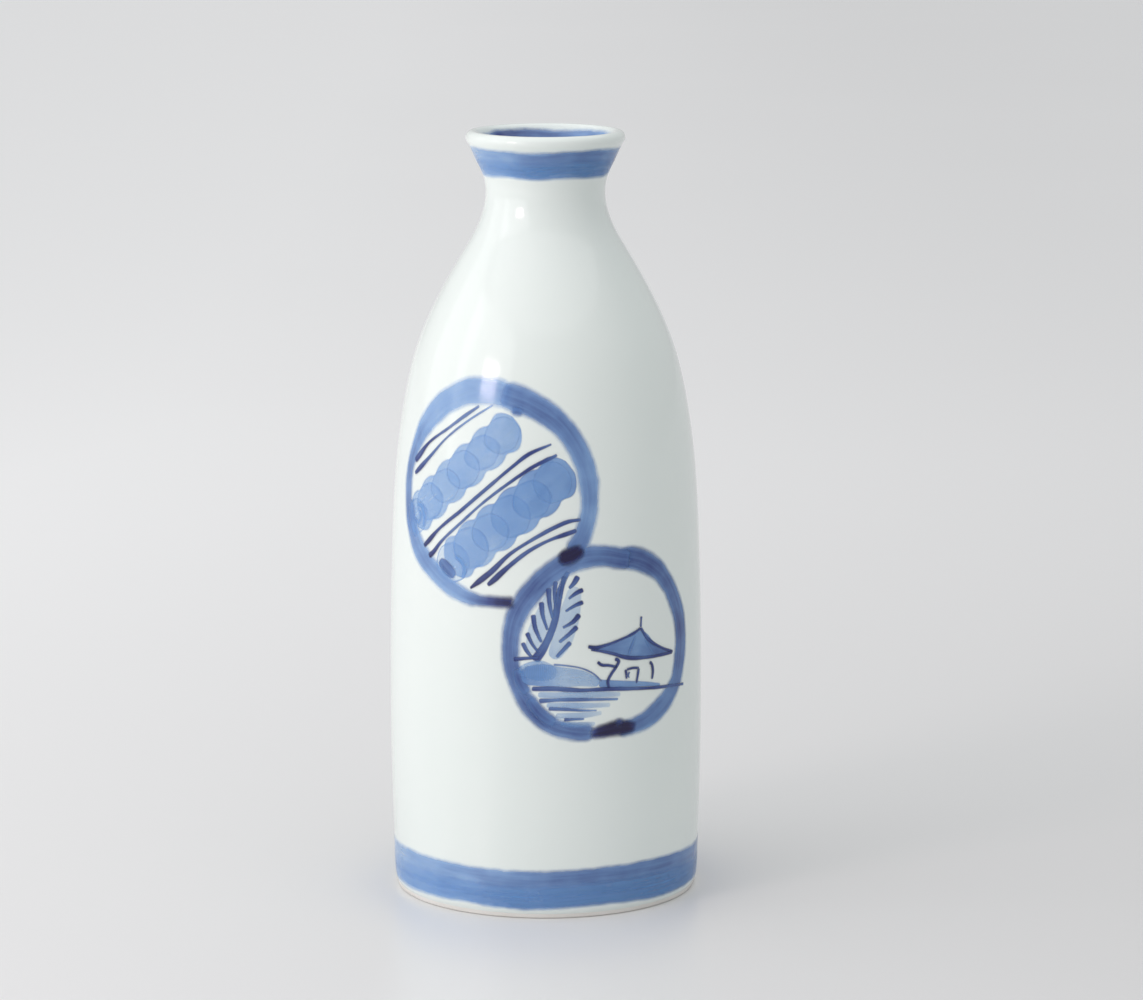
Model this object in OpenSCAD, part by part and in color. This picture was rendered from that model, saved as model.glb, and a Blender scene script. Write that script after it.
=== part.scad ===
// Sake bottle (tokkuri): a one-piece porcelain body with a flared mouth, coated inside and
// out with clear glaze, and decorated with bands and two brush-painted roundels in cobalt.
// Millimetres, +Z up, origin at the middle of the foot; the roundels face -Y.
// Each node is one layer of the ware: fired clay, clear glaze, or glaze stained by cobalt.

/* [Body] */
// Height from the table to the crest of the lip
bottle_h = 170; // [166:1:176]
// Greatest diameter, low on the belly
belly_d = 69.8; // [68.8:0.2:71]
// Diameter just above the foot
foot_d = 68.2; // [67.4:0.2:68.8]
// Narrowest outside diameter of the neck
neck_d = 26.4; // [26:0.2:27.6]
// Greatest diameter of the lip
lip_d = 35.2; // [34.4:0.2:36]
// Thickness of the wall, glaze included
wall = 3.4; // [3:0.1:3.8]
// Bore of the throat
throat_d = 19.6; // [18.6:0.2:20]
// Thickness of the floor, glaze included
floor_t = 3.8; // [3.2:0.1:5]

/* [Foot] */
// Depth of the recess under the floor
recess_depth = 2.4; // [2:0.1:3]
// Width of the bare ring that touches the table
foot_ring_w = 3.2; // [2.6:0.1:4]

/* [Glaze] */
// Thickness of the glaze coats
glaze_t = 0.3; // [0.25:0.05:0.4]
// Depth to which the cobalt stains the glaze
stain_t = 0.15; // [0.1:0.05:0.2]

/* [Painted bands] */
// Height of the lower edge of the band round the foot
foot_band_low = 2.4; // [2:0.1:3]
// Width of the band round the foot
foot_band_w = 8.8; // [7:0.1:10]
// Depth below the crest of the upper edge of the band under the lip
neck_band_drop = 3.3; // [3.3:0.1:3.8]
// Width of the band under the lip
neck_band_w = 6.2; // [5:0.1:7]
// Width of the band inside the mouth
mouth_band_w = 6; // [5:0.1:6.5]

/* [Painted roundels] */
// Way round the belly from the front to the middle of the upper roundel
upper_across = -14; // [-15:0.5:-13]
// Height of the middle of the upper roundel
upper_up = 94.5; // [94:0.1:95.5]
// Way round the belly from the front to the middle of the lower roundel
lower_across = 14; // [13.5:0.5:15]
// Height of the middle of the lower roundel
lower_up = 61.5; // [60.5:0.1:62]

/* [Hidden] */
$fn = 96;

white_clay = [0.93, 0.92, 0.90];
clear_glaze = [0.88, 0.93, 0.91];
cobalt_wash = [0.58, 0.70, 0.88];
cobalt_mid = [0.38, 0.50, 0.74];
cobalt_line = [0.18, 0.22, 0.44];

// ---- Outside of the glazed bottle ----

lip_bead_r = 1.5;                       // the rounded lip
lip_mid = [lip_d / 2 - lip_bead_r, bottle_h - lip_bead_r];
flare_slope = 0.72;                     // the flare of the mouth where it meets the lip
flare_angle = atan(flare_slope);
flare_top = lip_mid + lip_bead_r * [cos(flare_angle), -sin(flare_angle)];
glaze_low = 1;                          // the glaze is wiped off below this height

// Stations up the outside: [height, radius, change of radius with height]
OUTSIDE = [
    [glaze_low, foot_d / 2 - 0.35, 0.16],
    [5, foot_d / 2, 0.03],
    [40, belly_d / 2, 0],
    [bottle_h - 95, belly_d / 2 - 0.5, -0.035],
    [bottle_h - 70, belly_d / 2 - 2, -0.12],
    [bottle_h - 50, belly_d / 2 - 5.7, -0.28],
    [bottle_h - 38, belly_d / 2 - 10.45, -0.49],
    [bottle_h - 25, belly_d / 2 - 17.75, -0.61],
    [bottle_h - 13.5, neck_d / 2, 0],
    [bottle_h - 7, neck_d / 2 + 1.8, 0.56],
    [flare_top[1], flare_top[0], flare_slope]
];

// The radius and its slope at a height, on the smooth curve through a list of stations
function span_at(t, z, i = 0) = i == len(t) - 2 || z < t[i + 1][0] ? i : span_at(t, z, i + 1);
function blend(a, b, h, u) =
    a[1] * (2 * u^3 - 3 * u^2 + 1) + a[2] * h * (u^3 - 2 * u^2 + u)
    + b[1] * (3 * u^2 - 2 * u^3) + b[2] * h * (u^3 - u^2);
function blend_slope(a, b, h, u) =
    6 * (a[1] - b[1]) * (u^2 - u) / h + a[2] * (3 * u^2 - 4 * u + 1) + b[2] * (3 * u^2 - 2 * u);
function radius_at(t, z) =
    let (i = span_at(t, z), h = t[i + 1][0] - t[i][0])
    blend(t[i], t[i + 1], h, (z - t[i][0]) / h);
function slope_at(t, z) =
    let (i = span_at(t, z), h = t[i + 1][0] - t[i][0])
    blend_slope(t[i], t[i + 1], h, (z - t[i][0]) / h);

// A point of that curve moved square to it, away from the axis where d is positive
function skin_point(t, z, d) =
    let (s = slope_at(t, z), k = sqrt(1 + s^2)) [radius_at(t, z) + d / k, z - d * s / k];

// ---- Inside ----

floor_z = recess_depth + floor_t;
corner_r = 12;                          // the rounded corner between the floor and the wall
throat_low = bottle_h - 18;
throat_high = bottle_h - 10;
funnel_slope = 0.62;                    // the inside of the mouth where it meets the lip
funnel_angle = atan(funnel_slope);
funnel_top = lip_mid - lip_bead_r * [cos(funnel_angle), -sin(funnel_angle)];
function wall_station(z) =
    let (s = slope_at(OUTSIDE, z)) [z, radius_at(OUTSIDE, z) - wall * sqrt(1 + s^2), s];
INSIDE = concat(
    [[floor_z + corner_r, radius_at(OUTSIDE, floor_z + corner_r) - wall, 0]],
    [for (drop = [130, 95, 70, 50, 38, 25]) wall_station(bottle_h - drop)],
    [
        [throat_low, throat_d / 2, 0],
        [throat_high, throat_d / 2, 0],
        [funnel_top[1], funnel_top[0], funnel_slope]
    ]
);

// ---- Heights at which the two curves are cut into straight steps ----

foot_band_high = foot_band_low + foot_band_w;
neck_band_high = bottle_h - neck_band_drop;
neck_band_low = neck_band_high - neck_band_w;
mouth_band_high = funnel_top[1] - 0.4;
mouth_band_low = mouth_band_high - mouth_band_w;

function steps(a, b, n) = [for (i = [0 : n - 1]) a + (b - a) * i / n];
OUTER_Z = concat(
    steps(glaze_low, foot_band_low, 2),
    steps(foot_band_low, foot_band_high, 3),
    steps(foot_band_high, bottle_h - 80, 13),
    steps(bottle_h - 80, bottle_h - 30, 18),
    steps(bottle_h - 30, neck_band_low, 14),
    steps(neck_band_low, neck_band_high, 6),
    [neck_band_high, flare_top[1]]
);
INNER_Z = concat(
    steps(floor_z + corner_r, bottle_h - 80, 12),
    steps(bottle_h - 80, bottle_h - 30, 16),
    steps(bottle_h - 30, throat_low, 10),
    [throat_low],
    steps(throat_high, mouth_band_low, 2),
    steps(mouth_band_low, mouth_band_high, 5),
    [mouth_band_high, funnel_top[1]]
);

function between(list, a, b) = [for (z = list) if (z > a - 0.001 && z < b + 0.001) z];
function backwards(list) = [for (i = [len(list) - 1 : -1 : 0]) list[i]];
function inner_part(list) = [for (i = [1 : len(list) - 2]) list[i]];
function arc(mid, r, from, to, n) =
    [for (i = [0 : n]) mid + r * [cos(from + (to - from) * i / n), sin(from + (to - from) * i / n)]];
function skin_line(t, heights, d) = [for (z = heights) skin_point(t, z, d)];

// The lip rises from the flare to its crest, and falls from there to the funnel
function lip_outside(d) = arc(lip_mid, lip_bead_r + d, -flare_angle, 90, 7);
function lip_inside(d) = arc(lip_mid, lip_bead_r + d, 90, 180 - funnel_angle, 4);

// The floor runs from the axis out to the wall, and d lies below it
corner_mid = [INSIDE[0][1] - corner_r, floor_z + corner_r];
function floor_line(d) = concat([[0, floor_z - d]], arc(corner_mid, corner_r + d, -90, 0, 8));

// ---- Foot ----

foot_edge = 0.5;                        // rounding of the edge that meets the table
foot_lean = 60;                         // steepness of the inner side of the foot ring
recess_fillet = 1.2;
clay_foot_r = skin_point(OUTSIDE, glaze_low, -glaze_t)[0];
ring_inner_r = clay_foot_r - foot_edge - foot_ring_w;
fillet_mid_z = recess_depth - recess_fillet;
fillet_end_z = fillet_mid_z + recess_fillet * cos(foot_lean);
fillet_mid = [
    ring_inner_r - fillet_end_z / tan(foot_lean) - recess_fillet * sin(foot_lean), fillet_mid_z
];
function recess_fillet_line(d) = arc(fillet_mid, recess_fillet + d, 90, 90 - foot_lean, 4);

// ---- Turned layers ----

module porcelain_body() {
    color(white_clay) rotate_extrude() polygon(concat(
        [[0, recess_depth]],
        recess_fillet_line(0),
        [[ring_inner_r, 0]],
        arc([clay_foot_r - foot_edge, foot_edge], foot_edge, -90, 0, 4),
        skin_line(OUTSIDE, OUTER_Z, -glaze_t),
        inner_part(lip_outside(-glaze_t)),
        lip_inside(-glaze_t),
        inner_part(backwards(skin_line(INSIDE, INNER_Z, glaze_t))),
        backwards(floor_line(glaze_t))
    ));
}

// A turned layer under a stretch of one of the curves, between two depths
module layer(t, heights, low, high, near, far) {
    zs = between(heights, low, high);
    rotate_extrude() polygon(concat(
        skin_line(t, zs, near), backwards(skin_line(t, zs, far))
    ));
}

module inner_glaze() {
    color(clear_glaze) difference() {
        rotate_extrude() polygon(concat(
            floor_line(0),
            inner_part(skin_line(INSIDE, INNER_Z, 0)),
            backwards(lip_inside(0)),
            lip_inside(-glaze_t),
            inner_part(backwards(skin_line(INSIDE, INNER_Z, glaze_t))),
            backwards(floor_line(glaze_t))
        ));
        layer(INSIDE, INNER_Z, mouth_band_low, mouth_band_high, -cut_room, stain_t);
    }
}

module base_glaze() {
    color(clear_glaze) rotate_extrude() polygon(concat(
        [[0, recess_depth]],
        recess_fillet_line(0),
        backwards(recess_fillet_line(-glaze_t)),
        [[0, recess_depth - glaze_t]]
    ));
}

module mouth_band() {
    color(cobalt_mid) layer(INSIDE, INNER_Z, mouth_band_low, mouth_band_high, 0, stain_t);
}

module neck_band() {
    color(cobalt_mid) layer(OUTSIDE, OUTER_Z, neck_band_low, neck_band_high, 0, -stain_t);
}

module foot_band() {
    color(cobalt_mid) layer(OUTSIDE, OUTER_Z, foot_band_low, foot_band_high, 0, -stain_t);
}

// ---- Brush strokes ----
// A stroke is a list of [across, up, half of its width] along the way of the brush, from the
// middle of its roundel. Across is measured round the belly, at the belly's own radius.

function curve_through(p, n) = concat(
    [for (i = [0 : len(p) - 2], j = [0 : n - 1])
        let (
            a = p[max(i - 1, 0)], b = p[i], c = p[i + 1], d = p[min(i + 2, len(p) - 1)], u = j / n
        )
        b + (c - a) * u / 2 + (a - 2.5 * b + 2 * c - d / 2) * u^2
            + (1.5 * b - 1.5 * c + (d - a) / 2) * u^3],
    [p[len(p) - 1]]
);
function heading(c, i) =
    let (q = c[min(i + 1, len(c) - 1)] - c[max(i - 1, 0)]) atan2(q[1], q[0]);
function point_of(q) = [q[0], q[1]];

// One side of the stroke, with rounded lobes along it where a wash was dabbed on
function swell(c, i, lobes) = lobes == 0 ? 0 : abs(sin(180 * lobes * i / (len(c) - 1)));
function stroke_side(c, turn, lobes) = [
    for (i = [0 : len(c) - 1])
        let (a = heading(c, i) + turn)
        point_of(c[i]) + (c[i][2] + swell(c, i, lobes)) * [cos(a), sin(a)]
];
wide_end = 0.8;                         // ends of a greater half width are rounded in more steps
function stroke_end(c, i, from) =
    inner_part(arc(point_of(c[i]), c[i][2], from, from - 180, c[i][2] > wide_end ? 4 : 2));
function stroke(p, n = 3, lobes = 0) =
    let (c = curve_through(p, n), last = len(c) - 1)
    concat(
        stroke_side(c, 90, lobes), stroke_end(c, last, heading(c, last) + 90),
        backwards(stroke_side(c, -90, lobes)), stroke_end(c, 0, heading(c, 0) - 90)
    );

// A closed stroke has an outer and an inner side
function closed_curve_through(p, n) =
    let (k = len(p), c = curve_through(concat([p[k - 1]], p, [p[0], p[1]]), n))
    [for (i = [n : n + n * k - 1]) c[i]];
function loop_side(c, turn) = [
    for (i = [0 : len(c) - 1])
        let (q = c[(i + 1) % len(c)] - c[(i + len(c) - 1) % len(c)], a = atan2(q[1], q[0]) + turn)
        point_of(c[i]) + c[i][2] * [cos(a), sin(a)]
];

UPPER_RING = [stroke([
    [18.6, -13.8, 2.2], [21.6, -10.4, 2.2], [23.8, -4, 2.1], [24, 1.5, 2.4], [21.6, 9.5, 2.5],
    [17, 15.4, 2.6], [10.5, 19.2, 3], [2, 21.6, 3.1], [-6, 21.3, 3.1], [-12.4, 18.7, 3.1],
    [-18.4, 14, 2.9], [-22.8, 7.6, 2], [-24.6, 1, 1.5], [-24, -4.8, 1.4], [-21.6, -10.2, 1.8],
    [-18, -14.6, 2], [-13, -18.4, 1.7], [-8, -21.4, 1.5], [-3, -23.3, 1.4], [2, -23.9, 1.3],
    [7.6, -23.8, 1.4]
])];

UPPER_WASH = [
    stroke([
        [-20.4, -6.6, 2.4], [-16, -3, 3.4], [-10, 1, 3.4], [-3, 6, 3.4], [4, 11.5, 3.2],
        [8, 15, 1.6]
    ], 6, 6),
    stroke([
        [-9.6, -18, 2], [-3.5, -14, 3.6], [3, -8.5, 4], [10, -3, 4], [16, 2.2, 3.6],
        [19, 5.4, 2.4]
    ], 6, 6)
];

UPPER_LINES = [
    stroke([[-22.2, 4.6, 0.6], [-18, 8.5, 0.5], [-11, 13, 0.45], [-3, 18.2, 0.3]]),
    stroke([
        [-21.8, 2, 0.6], [-16.5, 6.1, 0.5], [-11.5, 10.7, 0.45], [-5, 15.3, 0.4], [1, 18.8, 0.3]
    ]),
    stroke([
        [-17, -13.5, 0.6], [-12.5, -9.5, 0.5], [-6, -4.5, 0.45], [0, 0.5, 0.45], [6, 5.5, 0.45],
        [10, 8.5, 0.4], [15.5, 10.7, 0.3]
    ]),
    stroke([
        [-15, -15.5, 0.6], [-11.5, -12, 0.5], [-6, -7.2, 0.45], [0, -2, 0.45], [6, 2.5, 0.45],
        [11, 5.5, 0.4], [17, 8.5, 0.3]
    ]),
    stroke([
        [-3.3, -21.3, 0.6], [1.5, -17.5, 0.5], [6, -13.2, 0.45], [11, -9.9, 0.4],
        [16, -7.2, 0.4], [22, -5.5, 0.3]
    ]),
    stroke([[1, -20.2, 0.6], [6, -15.7, 0.5], [11, -12, 0.45], [16, -9.5, 0.4], [21, -8, 0.3]])
];

// The lower ring closes on itself
LOWER_LOOP = closed_curve_through([
    [4, 18.4, 2.5], [-1, 19.2, 2.6], [-8, 18.4, 2.6], [-13, 15.8, 2.5], [-17.2, 11.6, 2.5],
    [-20.4, 6.6, 2.4], [-21.8, 0.4, 2], [-21.2, -6, 1.9], [-18.6, -12, 2], [-14, -17, 2.1],
    [-8, -19.2, 1.9], [-1, -19.7, 1.9], [6, -19.2, 2], [11, -17.6, 2.4], [15.4, -15, 2.4],
    [19.2, -11.4, 2.3], [21.3, -5.6, 2.3], [21.7, 0.4, 2.4], [19.6, 6.8, 2.3], [16.2, 12, 2.3],
    [11, 16.4, 2.4]
], 3);
LOWER_RING = [loop_side(LOWER_LOOP, -90)];
LOWER_RING_HOLE = [loop_side(LOWER_LOOP, 90)];

TREE = [
    stroke([
        [-15.2, -4, 1.4], [-13.7, 0.5, 0.8], [-12.2, 5, 0.75], [-11.4, 9.5, 0.7],
        [-10.4, 14.6, 0.5]
    ]),
    stroke([[-15.5, -1.8, 0.3], [-17.6, -0.6, 0.7], [-19, 0.5, 0.3]], 2),
    stroke([[-14.6, 1.6, 0.3], [-16.7, 4.6, 0.8], [-17.2, 6.8, 0.3]], 2),
    stroke([[-13.5, 4.6, 0.3], [-14.8, 7.6, 0.8], [-15, 9.5, 0.3]], 2),
    stroke([[-12.6, 8.4, 0.3], [-13.3, 11, 0.7], [-13.4, 12.8, 0.3]], 2),
    stroke([[-8.8, 12.6, 0.3], [-7.4, 13.4, 0.7], [-6.3, 14.6, 0.3]], 2),
    stroke([[-10.4, 8, 0.3], [-7.6, 9, 0.8], [-5.6, 9.8, 0.3]], 2),
    stroke([[-11, 4.4, 0.3], [-8.6, 5.6, 0.8], [-6.4, 7, 0.3]], 2),
    stroke([[-12, 0.4, 0.3], [-9.6, 2.2, 0.8], [-7, 4.2, 0.3]], 2),
    stroke([[-12.4, -2.6, 0.3], [-10.6, -1, 0.8], [-8.6, 0.8, 0.3]], 2)
];

SHORE = [
    // the pale slope of the hill
    [
        [-18, -4.6], [-14, -4.2], [-11.5, -4.3], [-7, -5], [-4, -6.3], [-1.8, -8], [-0.6, -10],
        [-9, -9.6], [-17, -9.4], [-18.4, -7]
    ],
    stroke([[-21, -2.9, 0.4], [-18, -3, 0.4], [-16.2, -2.8, 0.3]], 2),
    stroke([[-11.5, -4.3, 0.4], [-7, -5, 0.4], [-4, -6.3, 0.4], [-1.8, -8, 0.3]]),
    stroke([
        [-17, -9.7, 0.4], [-9, -9.7, 0.45], [-1, -10.4, 0.45], [6, -10.7, 0.45],
        [13, -11.4, 0.5], [18.6, -11.9, 0.4]
    ]),
    stroke([[-15.5, -12.1, 0.3], [-6, -12.4, 0.45], [2.3, -12.5, 0.3]]),
    stroke([[-13.5, -14, 0.3], [-8, -14.5, 0.45], [-3, -14.7, 0.3]]),
    stroke([[-8.6, -16.3, 0.25], [-6, -16.4, 0.35], [-3.4, -16.4, 0.25]], 2)
];

PAVILION = [
    stroke([[8.2, 2.6, 0.35], [8.4, 5, 0.35]], 1),
    [
        [-4.7, -0.4], [-2.8, -0.9], [0, -1.6], [4, -3.4], [8, -4.2], [13, -4.3], [18.2, -4.4],
        [14.4, -2.2], [10.7, 0.2], [8.3, 2.9], [5.1, 1.6], [0.2, 0.2], [-2.8, -0.5]
    ],
    stroke([[1.8, -3.2, 0.4], [0.6, -6.8, 0.4], [-0.1, -10, 0.3]], 2),
    stroke([[-3, -4.6, 0.3], [-1, -4.9, 0.35], [1.4, -5.3, 0.3]], 2),
    stroke([[4.3, -6, 0.35], [4.2, -8.4, 0.35]], 1),
    stroke([[7.6, -6.2, 0.35], [7, -9.6, 0.35]], 1),
    stroke([[4.6, -5.9, 0.35], [6, -6.1, 0.35], [7.4, -6, 0.35]], 1),
    stroke([[10.6, -4.6, 0.4], [11.4, -7, 0.4], [11.3, -9.4, 0.3]], 2)
];

// The outlines of strokes, cut as a prism through one side of the belly only
prism_start = 8;                        // how far in front of the axis the prism starts
function degrees_round(across) = across / (belly_d / 2) * 180 / PI;
function seen_flat(outline, up) =
    [for (q = outline) [radius_at(OUTSIDE, up + q[1]) * sin(degrees_round(q[0])), q[1]]];
module prism(across, up, outlines) {
    rotate([0, 0, degrees_round(across)]) translate([0, -prism_start, up]) rotate([90, 0, 0])
        linear_extrude(belly_d / 2) for (s = outlines) polygon(seen_flat(s, up));
}
module upper(outlines) prism(upper_across, upper_up, outlines);
module lower(outlines) prism(lower_across, lower_up, outlines);
module lower_band() {
    difference() {
        lower(LOWER_RING);
        lower(LOWER_RING_HOLE);
    }
}

// The skin that can be stained, and the same with room outside it for a clean cut
painted_high = bottle_h - 40;
cut_room = 1;
module stain() layer(OUTSIDE, OUTER_Z, foot_band_high, painted_high, 0, -stain_t);
module stain_groove() layer(OUTSIDE, OUTER_Z, foot_band_high, painted_high, cut_room, -stain_t);

module upper_lines() {
    color(cobalt_line) intersection() {
        stain();
        upper(UPPER_LINES);
    }
}

module upper_ring() {
    color(cobalt_mid) difference() {
        intersection() {
            stain();
            upper(UPPER_RING);
        }
        upper(UPPER_LINES);
    }
}

module upper_wash() {
    color(cobalt_wash) difference() {
        intersection() {
            stain();
            upper(UPPER_WASH);
        }
        upper(concat(UPPER_LINES, UPPER_RING));
    }
}

module lower_ring() {
    color(cobalt_mid) difference() {
        intersection() {
            stain();
            lower_band();
        }
        upper(UPPER_RING);
    }
}

module tree() {
    color(cobalt_mid) difference() {
        intersection() {
            stain();
            lower(TREE);
        }
        lower_band();
    }
}

module shore() {
    color(cobalt_mid) difference() {
        intersection() {
            stain();
            lower(SHORE);
        }
        lower_band();
        lower(concat(TREE, PAVILION));
    }
}

module pavilion() {
    color(cobalt_line) intersection() {
        stain();
        lower(PAVILION);
    }
}

module outer_glaze() {
    color(clear_glaze) difference() {
        rotate_extrude() polygon(concat(
            skin_line(OUTSIDE, OUTER_Z, 0),
            inner_part(lip_outside(0)),
            [lip_mid + [0, lip_bead_r], lip_mid + [0, lip_bead_r - glaze_t]],
            inner_part(backwards(lip_outside(-glaze_t))),
            backwards(skin_line(OUTSIDE, OUTER_Z, -glaze_t))
        ));
        layer(OUTSIDE, OUTER_Z, foot_band_low, foot_band_high, cut_room, -stain_t);
        layer(OUTSIDE, OUTER_Z, neck_band_low, neck_band_high, cut_room, -stain_t);
        intersection() {
            stain_groove();
            union() {
                upper(concat(UPPER_RING, UPPER_WASH, UPPER_LINES));
                lower_band();
                lower(concat(TREE, SHORE, PAVILION));
            }
        }
    }
}

porcelain_body();
outer_glaze();
inner_glaze();
base_glaze();
mouth_band();
neck_band();
foot_band();
upper_ring();
upper_wash();
upper_lines();
lower_ring();
tree();
shore();
pavilion();
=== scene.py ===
import bisect
import math

import bmesh
import bpy
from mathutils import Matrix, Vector, noise


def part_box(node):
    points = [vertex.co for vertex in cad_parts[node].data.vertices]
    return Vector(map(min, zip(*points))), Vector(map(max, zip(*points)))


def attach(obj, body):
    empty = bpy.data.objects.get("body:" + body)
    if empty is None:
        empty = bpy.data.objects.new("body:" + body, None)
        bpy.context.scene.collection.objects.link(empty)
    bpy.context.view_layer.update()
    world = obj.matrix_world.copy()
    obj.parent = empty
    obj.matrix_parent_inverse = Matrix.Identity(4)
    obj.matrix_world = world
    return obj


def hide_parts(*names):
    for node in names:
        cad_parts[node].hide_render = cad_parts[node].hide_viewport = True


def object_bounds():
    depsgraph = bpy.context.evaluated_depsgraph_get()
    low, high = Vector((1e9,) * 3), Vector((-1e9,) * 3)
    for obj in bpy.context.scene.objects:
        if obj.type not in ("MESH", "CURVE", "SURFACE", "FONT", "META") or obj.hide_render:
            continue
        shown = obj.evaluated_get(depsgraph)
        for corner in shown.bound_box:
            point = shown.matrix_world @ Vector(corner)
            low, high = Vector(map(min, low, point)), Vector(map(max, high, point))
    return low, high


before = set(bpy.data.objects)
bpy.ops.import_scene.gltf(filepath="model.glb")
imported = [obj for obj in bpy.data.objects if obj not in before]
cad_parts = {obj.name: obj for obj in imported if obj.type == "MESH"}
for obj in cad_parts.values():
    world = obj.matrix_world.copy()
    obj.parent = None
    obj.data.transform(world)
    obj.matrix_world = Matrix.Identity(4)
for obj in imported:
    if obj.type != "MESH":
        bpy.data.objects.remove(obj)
cad_low, cad_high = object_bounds()

MM = 0.001
bottle_height = cad_high.z
belly_radius = (cad_high.x - cad_low.x) / 2


# ---- Camera ----

CAMERA_AWAY = 5.76      # from the bottle's axis, in bottle heights
CAMERA_UP = 1.554       # over the table, in bottle heights
CAMERA_ASIDE = 0.0338   # to the right of the axis, in bottle heights
CAMERA_DOWN = 10.24     # degrees below level
LENS = 140.4            # millimetres, on a 36 mm sensor


def place_camera():
    camera = bpy.data.objects.new("camera", bpy.data.cameras.new("camera"))
    camera.data.lens = LENS
    camera.data.sensor_width = 36
    camera.location = Vector((CAMERA_ASIDE, -CAMERA_AWAY, CAMERA_UP)) * bottle_height
    camera.rotation_euler = (math.radians(90 - CAMERA_DOWN), 0, 0)
    bpy.context.scene.collection.objects.link(camera)
    bpy.context.scene.camera = camera


place_camera()


# ---- Curves ----

LONG_STRETCH = 10 * MM     # only the floors, inside and underneath, run straight this far
FLOOR_STEP = 1 * MM
OUTLINE_STEP = 0.9 * MM
GLAZE_FEATHER = 0.8 * MM   # how far in from its edge the glaze comes to its full depth
EDGE_SLACK = 0.05 * MM     # how near a point has to be to count as being at an edge
CLAY_STEPS = 144           # faces round the bottle
COAT_STEPS = 192


def smooth_curve(points, step):
    """A smooth line through the points, as points about a step apart."""
    points = [Vector(p) for p in points]
    gaps = [max((b - a).length, 1e-9) for a, b in zip(points, points[1:])]
    slopes = [(b - a) / gap for a, b, gap in zip(points, points[1:], gaps)]
    tangents = [slopes[0]]
    for before, after, gap, next_gap in zip(slopes, slopes[1:], gaps, gaps[1:]):
        tangents.append((before * next_gap + after * gap) / (gap + next_gap))
    tangents.append(slopes[-1])
    curve = []
    for i, gap in enumerate(gaps):
        count = max(1, math.ceil(gap / step))
        for j in range(count):
            u = j / count
            curve.append(
                points[i] * (2 * u**3 - 3 * u**2 + 1)
                + tangents[i] * gap * (u**3 - 2 * u**2 + u)
                + points[i + 1] * (3 * u**2 - 2 * u**3)
                + tangents[i + 1] * gap * (u**3 - u**2)
            )
    return curve + [points[-1]]


def floors_divided(points):
    """The same line with its long stretches in short steps, to stay flat when smoothed."""
    line = []
    for a, b in zip(points, points[1:]):
        length = (b - a).length
        count = math.ceil(length / FLOOR_STEP) if length > LONG_STRETCH else 1
        line += [a.lerp(b, i / count) for i in range(count)]
    return line + [points[-1]]


def ease(x):
    x = min(max(x, 0), 1)
    return x * x * (3 - 2 * x)


# ---- The turned outline, cut from the body's own solid ----

def half_section(node):
    """The outline of a turned solid from the axis underneath, round outside, to the axis inside."""
    section = bmesh.new()
    section.from_mesh(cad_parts[node].data)
    bmesh.ops.remove_doubles(section, verts=section.verts, dist=0.001 * MM)
    for normal, both_sides in (((0, 1, 0), True), ((1, 0, 0), False)):
        bmesh.ops.bisect_plane(
            section,
            geom=section.verts[:] + section.edges[:] + section.faces[:],
            dist=0.0001 * MM,
            plane_co=(0, 0, 0),
            plane_no=normal,
            clear_inner=True,
            clear_outer=both_sides,
        )
    bmesh.ops.remove_doubles(section, verts=section.verts, dist=0.01 * MM)
    section.verts.index_update()
    links = [[e.other_vert(v).index for e in v.link_edges] for v in section.verts]
    places = [Vector((v.co.x, v.co.z)) for v in section.verts]
    section.free()
    ends = [i for i, near in enumerate(links) if len(near) == 1]
    way = [min(ends, key=lambda i: places[i].y)]
    while True:
        onward = [i for i in links[way[-1]] if i not in way[-2:]]
        if not onward:
            return [places[i] for i in way]
        way.append(onward[0])


def corners_of(outline):
    """The outline without the points that lie along its straight steps."""
    kept = [outline[0]]
    for point, after in zip(outline[1:], outline[2:]):
        if (point - kept[-1]).angle(after - point, 0) > math.radians(0.02):
            kept.append(point)
    return kept + [outline[-1]]


clay_outline = corners_of(half_section("porcelain_body"))
outer_low, outer_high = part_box("outer_glaze")
clay_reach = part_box("porcelain_body")[1].x
base_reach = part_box("base_glaze")[1].x
glaze_depth = outer_high.x - clay_reach


def first_point(found):
    return next(i for i, p in enumerate(clay_outline) if found(p))


def on_outer_wall(point):
    return point.y > outer_low.z - EDGE_SLACK and point.x > 0.9 * belly_radius


glaze_starts = first_point(on_outer_wall)
base_glaze_ends = first_point(lambda p: p.x > base_reach - EDGE_SLACK)


def glazed(outline, feather, side):
    """The outline moved by the glaze's depth to one side, thinning to nothing at its start."""
    moved = []
    way = 0
    for i, point in enumerate(outline):
        before = outline[max(i - 1, 0)]
        after = outline[min(i + 1, len(outline) - 1)]
        tangent = (after - before).normalized()
        way += (point - before).length
        depth = side * glaze_depth * math.sqrt(ease(way / feather))
        moved.append(point + Vector((tangent.y, -tangent.x)) * depth)
    return moved


def smoothed(outline):
    """The clay's outline as one smooth line, ready to be glazed."""
    return smooth_curve(floors_divided(outline), OUTLINE_STEP)


glaze_outline = glazed(smoothed(clay_outline[glaze_starts:]), GLAZE_FEATHER, 1)
base_outline = glazed(smoothed(clay_outline[base_glaze_ends::-1]), GLAZE_FEATHER, -1)
crest = max(range(len(glaze_outline)), key=lambda i: glaze_outline[i].y)
outside = glaze_outline[:crest + 1]
inside = glaze_outline[crest:][::-1]


def radius_on(outline, z):
    """The radius of an outline that rises with height."""
    i = bisect.bisect_left(outline, z, key=lambda p: p.y)
    i = min(max(i, 1), len(outline) - 1)
    a, b = outline[i - 1], outline[i]
    return a.x + (b.x - a.x) * (z - a.y) / (b.y - a.y)


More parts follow.
